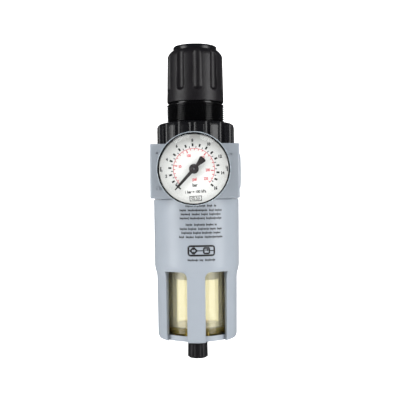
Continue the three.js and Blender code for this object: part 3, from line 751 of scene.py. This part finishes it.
def guard():
    outline = rounded([
        (27.3, -20.6, 0.2), (31.5, -20.6, 0.3), (31.2, -68.6, 2), (30.8, -71.4, 2), (29.75, -75.0, 3),
        (29.5, -77.4, 2), (29.1, -119.7, 0.5), (28.2, -121.9, 1.5), (25.6, -122.7, 1.2), (9.5, -122.7, 0.5),
        (9.5, -119.6, 0.4), (24.3, -119.6, 0.6), (24.3, -42.8), (22.8, -41.5), (22.8, -38.3), (27.3, -38.3),
    ])
    shell = turned("guard_shell", outline, 192)
    combine(shell, "DIFFERENCE", *sight_windows())
    soften_edges(shell, 0.6, angle=40, segments=3)
    return dress(shell, "guard", "grey_plastic", stands_for=["bowl_guard"], smooth=40)


guard_shell = guard()

# ---- Bowl, filter and drain ----


def bowl():
    outline = rounded([
        (5.4, -119.0), (20.5, -119.0, 1.0), (22.0, -117.5, 1.2), (22.0, -37.9), (26.4, -37.9, 0.3),
        (26.4, -34.5, 0.3), (22.9, -34.5), (22.9, -29.6, 0.2), (20.9, -29.6), (20.9, -26.4),
        (22.9, -26.4, 0.2), (22.9, -22.6, 0.3), (19.0, -22.6), (18.4, -24.0), (18.4, -113.3, 0.8),
        (5.4, -113.3),
    ])
    return dress(turned("clear_bowl", outline, 160), "bowl", "bowl_plastic", stands_for=["bowl"])


def bowl_seal():
    outline = [(22.1 + x, -28 + y) for x, y in arc(1.05, 0, 345, 23)]
    return dress(turned("bowl_seal_ring", outline, 128), "bowl", "rubber", stands_for=["bowl_o_ring"])


def baffle():
    outline = rounded([
        (3.1, -70.3), (15.0, -70.3, 1.0), (16.4, -71.6, 1.0), (16.4, -79.0, 0.4), (15.0, -79.0, 0.3),
        (15.0, -72.2, 0.5), (3.1, -72.0),
    ])
    return dress(turned("baffle_cup", outline, 128), "housing", "white_plastic", stands_for=["filter_baffle"])


def drain_grip():
    outline = rounded([(5.3, -124.0), (5.3, -130.9), (2.0, -130.9), (2.0, -137.7), (6.6, -137.7, 0.5)])
    outline += [(7.25 + 0.2 * (-126.9 - z) / 10, z) for z in np.arange(-136.9, -126.8, 0.4)]
    outline += rounded([(7.3, -126.6), (7.9, -126.6, 0.2), (7.9, -124.0, 0.3)])
    ribs = scallops(8, FRONT + 22.5, 1.5, 8.4, 0.3)

    def shape(r, z, angle):
        return np.where((z < -127.2) & (r > 6.0), ribs(r, z, angle), r)

    grip = turned("drain_grip", outline, 256, shape)
    return dress(grip, "drain_knob", "black_plastic", stands_for=["drain_knob"])


bowl()
bowl_seal()
baffle()
drain_grip()

# ---- Springs and diaphragm, which change shape as their joints move ----


def coil(name, radius, wire, low, high, turns, per_turn=28, sides=10):
    """A wire coil about the vertical axis, with a close turn at each end."""
    close = 2 * wire + 0.3
    low, high = low + wire, high - wire
    open_pitch = (high - low - 2 * close) / (turns - 2)
    count = turns * per_turn + 1
    points = []
    for i in range(count):
        t = turns * i / (count - 1)
        closed_turns, open_turns = min(t, 1) + max(t - turns + 1, 0), min(max(t - 1, 0), turns - 2)
        height = low + closed_turns * close + open_turns * open_pitch
        a = 2 * math.pi * t
        for k in range(sides):
            b = 2 * math.pi * k / sides
            reach = radius + wire * math.cos(b)
            points.append((reach * math.cos(a), reach * math.sin(a), height + wire * math.sin(b)))
    faces = [tuple(range(sides)), tuple(range((count - 1) * sides, count * sides))]
    for i in range(count - 1):
        a, b = i * sides, (i + 1) * sides
        faces += [(a + k, a + (k + 1) % sides, b + (k + 1) % sides, b + k) for k in range(sides)]
    return tidy(new_piece(name, points, faces))


def springs():
    main = coil("main_spring_coil", 9.5, 1.4, 16.1, 59.8, 8)
    dress(main, "housing", "spring_steel", stands_for=["main_spring"])
    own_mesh(main)
    small = coil("valve_spring_coil", 4.6, 0.6, -18.8, -6.7, 6)
    dress(small, "housing", "spring_steel", stands_for=["valve_spring"])
    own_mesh(small)


def diaphragm():
    seat = 11.0
    outline = rounded([
        (3.9, 1.0), (16.0, 1.0, 0.4), (16.9, 3.2, 0.5), (17.5, 3.2, 0.5), (18.3, 0.3, 0.4), (23.6, 0.3),
        (23.6, 2.3), (18.9, 2.3, 0.3), (18.1, 4.2, 0.6), (16.3, 4.2, 0.6), (15.4, 2.2, 0.4), (3.9, 2.2),
    ])
    made = turned("diaphragm_disc", [(r, seat + z) for r, z in outline], 96)
    dress(made, "housing", "rubber", stands_for=["diaphragm"])
    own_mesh(made)


springs()
diaphragm()

# ---- Dial gauge: its Z is outwards from the body's front face and its Y is up ----
GAUGE = [TO_FRONT, move(0, -BODY_HALF, 0)]
DIAL_TURN = 2.8  # the gauge was screwed in a little past upright, in degrees
DIAL_R = 23.4
DIAL_FACE = 16.8
SWEEP = 270.0
FULL_SCALE = 16
ZERO = 90 + SWEEP / 2


def on_gauge(piece, body, slot, material=None, stands_for=()):
    return dress(placed(piece, *GAUGE), body, slot, material, stands_for)


def gauge_case():
    outline = rounded([
        (5.3, 5.3), (22.5, 5.3, 1.2), (24.2, 7.0, 1.2), (24.2, 22.0, 0.2), (DIAL_R - 0.2, 22.0, 0.1),
        (DIAL_R - 0.2, 17.2), (DIAL_R + 0.15, 17.2), (DIAL_R + 0.15, 16.1), (22.6, 16.1),
        (22.6, 6.7, 0.8), (5.3, 6.7),
    ])
    on_gauge(turned("gauge_housing", outline, 160), "housing", "gloss_black", stands_for=["gauge_case"])


def gauge_window():
    """The snap-on window's shallow dome, which light passes without a shadow."""
    outline = rounded([
        (23.9, 22.6), (24.3, 22.6), (24.3, 25.3, 0.1), (20.0, 26.7, 2), (12.0, 27.4, 3), (0, 27.8), (0, 26.3),
        (12.0, 25.9, 3), (20.0, 25.2, 2), (23.9, 23.9),
    ])
    made = turned("gauge_crystal", outline, 160)
    made.visible_shadow = False
    on_gauge(made, "housing", "clear_plastic", stands_for=["gauge_window"])


def window_skirt():
    """The window's grip ring, which is ribbed and a little cloudy."""
    outline = rounded([
        (24.4, 17.5, 0.1), (25.0, 17.5, 0.2), (25.0, 25.0, 0.2), (24.8, 25.2, 0.1), (24.4, 25.3),
    ])

    def ribbed(r, z, angle):
        rim = (r > 24.8) & (z > 18.0)
        return np.where(rim, r - 0.25 * (0.5 + 0.5 * np.cos(angle * 110)), r)

    on_gauge(turned("gauge_skirt", outline, 880, ribbed), "housing", "clear_plastic", FROST)


def dial_angle(bar):
    """Direction of a reading on the printed plate, in degrees."""
    return ZERO - SWEEP * bar / FULL_SCALE


def mark(direction, inner, outer, width):
    """A printed stroke that points away from the dial's centre."""
    half = width / 2
    outline = [(inner, -half), (outer, -half), (outer, half), (inner, half)]
    return placed(prism("mark", outline, DIAL_FACE, DIAL_FACE + 0.05), turn("Z", direction))


def band(inner, outer, start, end, steps=90):
    outline = arc(outer, start, end, steps) + arc(inner, end, start, steps)
    return prism("band", outline, DIAL_FACE, DIAL_FACE + 0.04)


def lettering(text, size, x, y, squeeze=0.85, weight=0.05):
    """Printed characters centred at (x, y) on the dial. weight thickens their strokes."""
    curve = bpy.data.curves.new("lettering", "FONT")
    curve.body = text
    curve.size = size
    curve.offset = weight
    curve.align_x, curve.align_y = "CENTER", "CENTER"
    curve.extrude = 0.02
    curve.resolution_u = 4
    made = bpy.data.objects.new("lettering", curve)
    bpy.context.scene.collection.objects.link(made)
    graph = bpy.context.evaluated_depsgraph_get()
    mesh = bpy.data.meshes.new_from_object(made.evaluated_get(graph))
    bpy.data.objects.remove(made)
    piece = bpy.data.objects.new("lettering", mesh)
    bpy.context.scene.collection.objects.link(piece)
    mesh.transform(Matrix.Diagonal((squeeze * MM, MM, MM, 1)))
    mesh.transform(Matrix.Translation((x * MM, y * MM, (DIAL_FACE + 0.03) * MM)))
    return piece


def around(radius, direction):
    a = math.radians(direction)
    return radius * math.cos(a), radius * math.sin(a)


def dial():
    outline = rounded([(1.3, 16.2), (DIAL_R, 16.2), (DIAL_R, DIAL_FACE, 0.1), (1.3, DIAL_FACE)])
    plate = turned("dial_plate", outline, 160)
    slots = [prism("slot", rectangle(0.75, 3.3, x), 15, 18) for x in (-22.425, 22.425)]
    combine(plate, "DIFFERENCE", *slots)
    on_gauge(plate, "housing", "dial_white", stands_for=["gauge_dial"])
    black = [mark(dial_angle(bar), 15.3, 17.4, 1.2) for bar in range(1, FULL_SCALE + 1)]
    for bar in range(2, FULL_SCALE + 1, 2):
        black.append(lettering(str(bar), 2.8, *around(19.4, dial_angle(bar)), weight=0.16))
    stop = prism("stop", rectangle(1.0, 4.8), DIAL_FACE, DIAL_FACE + 0.05)
    black.append(placed(stop, move(16.1, 0, 0), turn("Z", ZERO)))
    black.append(lettering("bar", 3.1, 0, -10.9, weight=0.1))
    black.append(lettering("1 bar = 100 kPa", 2.7, 0, -15.4, squeeze=0.84, weight=0.09))
    black.append(lettering("CL 2.5", 2.1, 0, -19.9, squeeze=1.0, weight=0.1))
    frame_sides = (
        (0, -18.4, 8.2, 0.5), (0, -21.4, 8.2, 0.5), (-3.9, -19.9, 0.5, 3.4), (3.9, -19.9, 0.5, 3.4),
    )
    for x, y, width, height in frame_sides:
        bar_mesh = prism("box", rectangle(width, height), DIAL_FACE, DIAL_FACE + 0.05)
        black.append(placed(bar_mesh, move(x, y, 0)))
    grey = [mark(dial_angle(bar + 0.5), 14.3, 15.6, 0.6) for bar in range(FULL_SCALE)]
    grey += [mark(side, 21.4, 21.8, 1.8) for side in (0, 180)]
    red = [band(13.75, 14.1, dial_angle(FULL_SCALE), dial_angle(0))]
    psi_per_bar = 14.5038
    for psi in range(0, 231, 10):
        direction = dial_angle(psi / psi_per_bar)
        red.append(mark(direction, 12.7, 13.8, 0.45))
        if psi % 50 == 0:
            red.append(mark(direction, 11.5, 12.9, 0.75))
    for psi, reach in ((50, 9.6), (100, 9.6), (150, 9.6), (200, 9.4), (230, 10.4)):
        place = around(reach, dial_angle(psi / psi_per_bar))
        red.append(lettering(str(psi), 2.6, *place, squeeze=0.75, weight=0.1))
    red.append(lettering("psi", 3.1, 0, -6.9, weight=0.12))
    printing = (
        ("dial_marks_black", black, INK_BLACK),
        ("dial_marks_grey", grey, INK_GREY),
        ("dial_marks_red", red, INK_RED),
    )
    for name, marks, ink in printing:
        printed = join_pieces(name, marks)
        placed(printed, turn("Z", DIAL_TURN))
        on_gauge(printed, "housing", "dial_white", ink)


def pointer():
    """A needle with a broad fan for a counterweight, on a stepped hub. It is drawn pointing up."""
    half_needle = [(1.2, -2.6), (1.2, 0), (1.0, 8), (0.8, 15.8), (0.5, 16.2), (0.4, 18.9), (0, 19.2)]
    needle = half_needle + [(-x, y) for x, y in half_needle[-2::-1]]
    half_fan = [(0.95, 0), (1.15, -4.2), (2.45, -8.6), (2.35, -9.2)]
    fan = half_fan + arc(9.9, -79, -101, 8) + [(-x, y) for x, y in half_fan[::-1]]
    blade = prism("pointer_needle", needle, 19.0, 19.6)
    tail = prism("tail", fan, 19.0, 19.6)
    hub = turned("hub", rounded([
        (0, 18.5), (3.3, 18.5, 0.2), (3.3, 19.8, 0.3), (2.4, 19.8), (2.3, 20.1, 0.1), (1.5, 20.3, 0.2),
        (0, 20.3),
    ]), 64)
    combine(blade, "UNION", tail, hub)
    combine(blade, "DIFFERENCE", cylinder("tool", 0.72, 18, 21, 32))
    soften_edges(blade, 0.06, angle=45)
    placed(blade, turn("Z", ZERO + DIAL_TURN - 90))
    on_gauge(blade, "pointer", "pointer_black", stands_for=["gauge_pointer"])


gauge_case()
gauge_window()
window_skirt()
dial()
pointer()

# ---- Printing on the guard: rows of plain strokes and a general symbol for a filter with a regulator ----
PRINT_TURN = 7.7  # the guard stops a little short of square when it is tight
PRINT_LIFT = 0.03
GUARD_R = 31.3


def stroke(shell, start, end, width):
    """A printed line on the guard from one (distance along, height) to the other."""
    a, b = np.array(start, float), np.array(end, float)
    along = (b - a) / np.linalg.norm(b - a)
    across = np.array([-along[1], along[0]]) * width / 2
    stations = np.linspace(a, b, max(2, int(np.linalg.norm(b - a) / 0.7) + 1))
    points = []
    for station in stations:
        for distance, height in (station - across, station + across):
            angle = math.radians(FRONT + PRINT_TURN) + distance / GUARD_R
            out = Vector((math.cos(angle), math.sin(angle), 0))
            origin = out * 60 * MM + Vector((0, 0, height * MM))
            hit, place, _, _ = shell.ray_cast(origin, -out)
            radius = Vector((place.x, place.y)).length / MM if hit else GUARD_R
            for reach in (radius + PRINT_LIFT, radius - 0.1):
                points.append((out.x * reach, out.y * reach, height))
    faces = [(0, 1, 3, 2)]
    for i in range(0, len(points) - 4, 4):
        faces += [
            (i, i + 2, i + 6, i + 4), (i + 1, i + 5, i + 7, i + 3), (i, i + 4, i + 5, i + 1),
            (i + 2, i + 3, i + 7, i + 6),
        ]
    last = len(points) - 4
    faces.append((last, last + 2, last + 3, last + 1))
    return tidy(new_piece("stroke", points, faces))


def guard_print(shell):
    """Two blocks of rows, the symbol in a frame below them, and one more row.

    Each row is (height, lengths of its groups of strokes).
    """
    gap, stretch, tick_step = 1.15, 1.1, 1.0
    rows = (
        (-25.2, (4.6, 7.2, 3.6, 1.6)), (-28.3, (4.4, 12.6, 2.9, 5.0)), (-31.1, (6.2, 5.0, 4.2, 8.0)),
        (-33.9, (5.6, 9.4, 10.9)), (-38.5, (4.4, 6.6, 4.8, 1.2)), (-41.4, (4.6, 5.4, 6.4, 4.0, 3.6)),
        (-44.2, (6.6, 4.6, 6.6, 5.0)), (-47.1, (3.6, 5.0, 5.0, 12.6)), (-63.3, (6.6, 2.4, 6.9)),
    )
    pieces = []
    for height, groups in rows:
        distance = -(stretch * sum(groups) + gap * (len(groups) - 1)) / 2
        for group in groups:
            length = group * stretch
            pieces.append(stroke(shell, (distance, height), (distance + length, height), 0.5))
            for i in range(int(length / tick_step) + 1):
                x = distance + 0.3 + i * tick_step
                rise, drop = 0.7 + 0.3 * (i % 3 == 0), 0.7 + 0.3 * (i % 4 == 2)
                pieces.append(stroke(shell, (x, height - drop), (x, height + rise), 0.45))
            distance += length + gap
    half, high, low, corner = 9.3, -53.4, -60.0, 1.3
    frame_line = []
    for cx, cy, start in ((half - corner, high - corner, 0), (-half + corner, high - corner, 90),
                          (-half + corner, low + corner, 180), (half - corner, low + corner, 270)):
        frame_line += arc(corner, start, start + 90, 4, (cx, cy))
    middle = (high + low) / 2
    diamond = arc(2.3, 0, 270, 3, (-5.6, middle))
    square = [(1.6, middle + 1.9), (1.6, middle - 1.9), (5.6, middle - 1.9), (5.6, middle + 1.9)]
    for outline, width in ((frame_line, 1.3), (diamond, 1.2), (square, 1.1)):
        pieces += [stroke(shell, outline[i - 1], outline[i], width) for i in range(len(outline))]
    lines = (
        ((-8.6, middle), (-7.9, middle)), ((-3.3, middle), (1.6, middle)), ((5.6, middle), (8.6, middle)),
        ((-5.6, middle + 1.6), (-5.6, middle + 0.5)), ((-5.6, middle - 0.5), (-5.6, middle - 1.6)),
        ((2.4, middle + 0.5), (4.8, middle + 0.5)), ((4.0, middle + 1.1), (4.9, middle + 0.5)),
        ((4.0, middle - 0.1), (4.9, middle + 0.5)),
    )
    pieces += [stroke(shell, start, end, 0.7) for start, end in lines]
    return dress(join_pieces("guard_print", pieces), "guard", "grey_plastic", INK_BLACK)


guard_print(guard_shell)

# ---- Finish of the CAD pieces that stay as they are ----
slot_of = {part["node"]: part["material_slot"] for part in frame["record"]["subparts"]}
for name, node in nodes.items():
    if node.hide_render:
        continue
    node.data.materials.clear()
    node.data.materials.append(BY_SLOT[slot_of[name]])
    edges = node.modifiers.new("Edges", "BEVEL")
    edges.width = 0.12 * MM
    edges.segments = 2
    edges.limit_method = "ANGLE"
    edges.angle_limit = math.radians(40)

# ---- Studio: pale floor and backdrop, two soft side boxes, two high fill lights, camera ----


def emitting(name, colour, strength, albedo):
    made = Nodes(name)
    mottle = made.noise(60, detail=3)
    made.link(
        made.ramp(mottle, (0.3, shade(albedo, 0.99)), (0.7, albedo)), made.shader.inputs["Base Color"]
    )
    made.set(Roughness=0.9, Emission_Color=colour, Emission_Strength=strength)
    return made.material


def backdrop():
    """A sweep: floor, curve and wall in one sheet."""
    floor_z, back_y, radius, height, half = -165.0, 700.0, 300.0, 1500.0, 1600.0
    side = [(-900.0, floor_z), (back_y - radius, floor_z)]
    side += [(y, z) for y, z in arc(radius, -90, 0, 14, (back_y - radius, floor_z + radius))]
    side += [(back_y, height)]
    points = [(x, y, z) for y, z in side for x in (-half, half)]
    faces = [(2 * i, 2 * i + 1, 2 * i + 3, 2 * i + 2) for i in range(len(side) - 1)]
    sweep = new_piece("studio_sweep", points, faces)
    sweep.data.shade_smooth()
    sweep.data.materials.append(emitting("sweep_white", srgb(255, 255, 255), 0.8, srgb(235, 235, 235)))
    sweep.visible_glossy = False


def area_light(name, azimuth, elevation, distance, width, height, watts, glints=True):
    """A soft box that faces the object. Azimuth is from the camera's side, towards +X.

    Without glints the box lights surfaces and doesn't show in their gloss.
    """
    a, e = math.radians(azimuth), math.radians(elevation)
    direction = Vector((math.sin(a) * math.cos(e), -math.cos(a) * math.cos(e), math.sin(e)))
    data = bpy.data.lights.new(name, "AREA")
    data.shape = "RECTANGLE"
    data.size, data.size_y = width, height
    data.energy = watts
    light = bpy.data.objects.new(name, data)
    bpy.context.scene.collection.objects.link(light)
    light.location = direction * distance
    light.rotation_mode = "QUATERNION"
    light.rotation_quaternion = direction.to_track_quat("Z", "Y")
    light.visible_glossy = glints


def camera():
    """At the height of the guard's upper part, a little to the outlet side, level, and rolled slightly."""
    focal_px, picture_px = 730.0, 400.0
    distance, azimuth = 543.0, 1.65
    eye_level, aim_left, down, lean = -20.0, 0.286, 0.118, 0.58
    data = bpy.data.cameras.new("camera")
    data.sensor_width = 36.0
    data.lens = 36.0 * focal_px / picture_px
    data.clip_start, data.clip_end = 0.01, 20.0
    made = bpy.data.objects.new("camera", data)
    bpy.context.scene.collection.objects.link(made)
    a = math.radians(azimuth)
    made.location = Vector((math.sin(a) * distance, -math.cos(a) * distance, eye_level)) * MM
    heading = azimuth - aim_left
    made.rotation_mode = "QUATERNION"
    made.rotation_quaternion = (
        Matrix.Rotation(math.radians(heading), 4, "Z")
        @ Matrix.Rotation(math.radians(90 - down), 4, "X")
        @ Matrix.Rotation(math.radians(-lean), 4, "Z")
    ).to_quaternion()
    bpy.context.scene.camera = made


backdrop()
area_light("left_box", -62, 4, 0.9, 0.45, 0.8, 7.5)
area_light("right_box", 60, 4, 0.9, 0.45, 0.8, 7.5)
area_light("left_high_box", -28, 42, 0.9, 0.5, 0.3, 2.2, glints=False)
area_light("right_high_box", 28, 42, 0.9, 0.5, 0.3, 2.2, glints=False)
camera()
world = bpy.data.worlds.new("studio")
world.use_nodes = True
world.node_tree.nodes["Background"].inputs["Color"].default_value = srgb(235, 238, 242)
world.node_tree.nodes["Background"].inputs["Strength"].default_value = 0.1
bpy.context.scene.world = world
bpy.context.scene.view_settings.view_transform = "Standard"
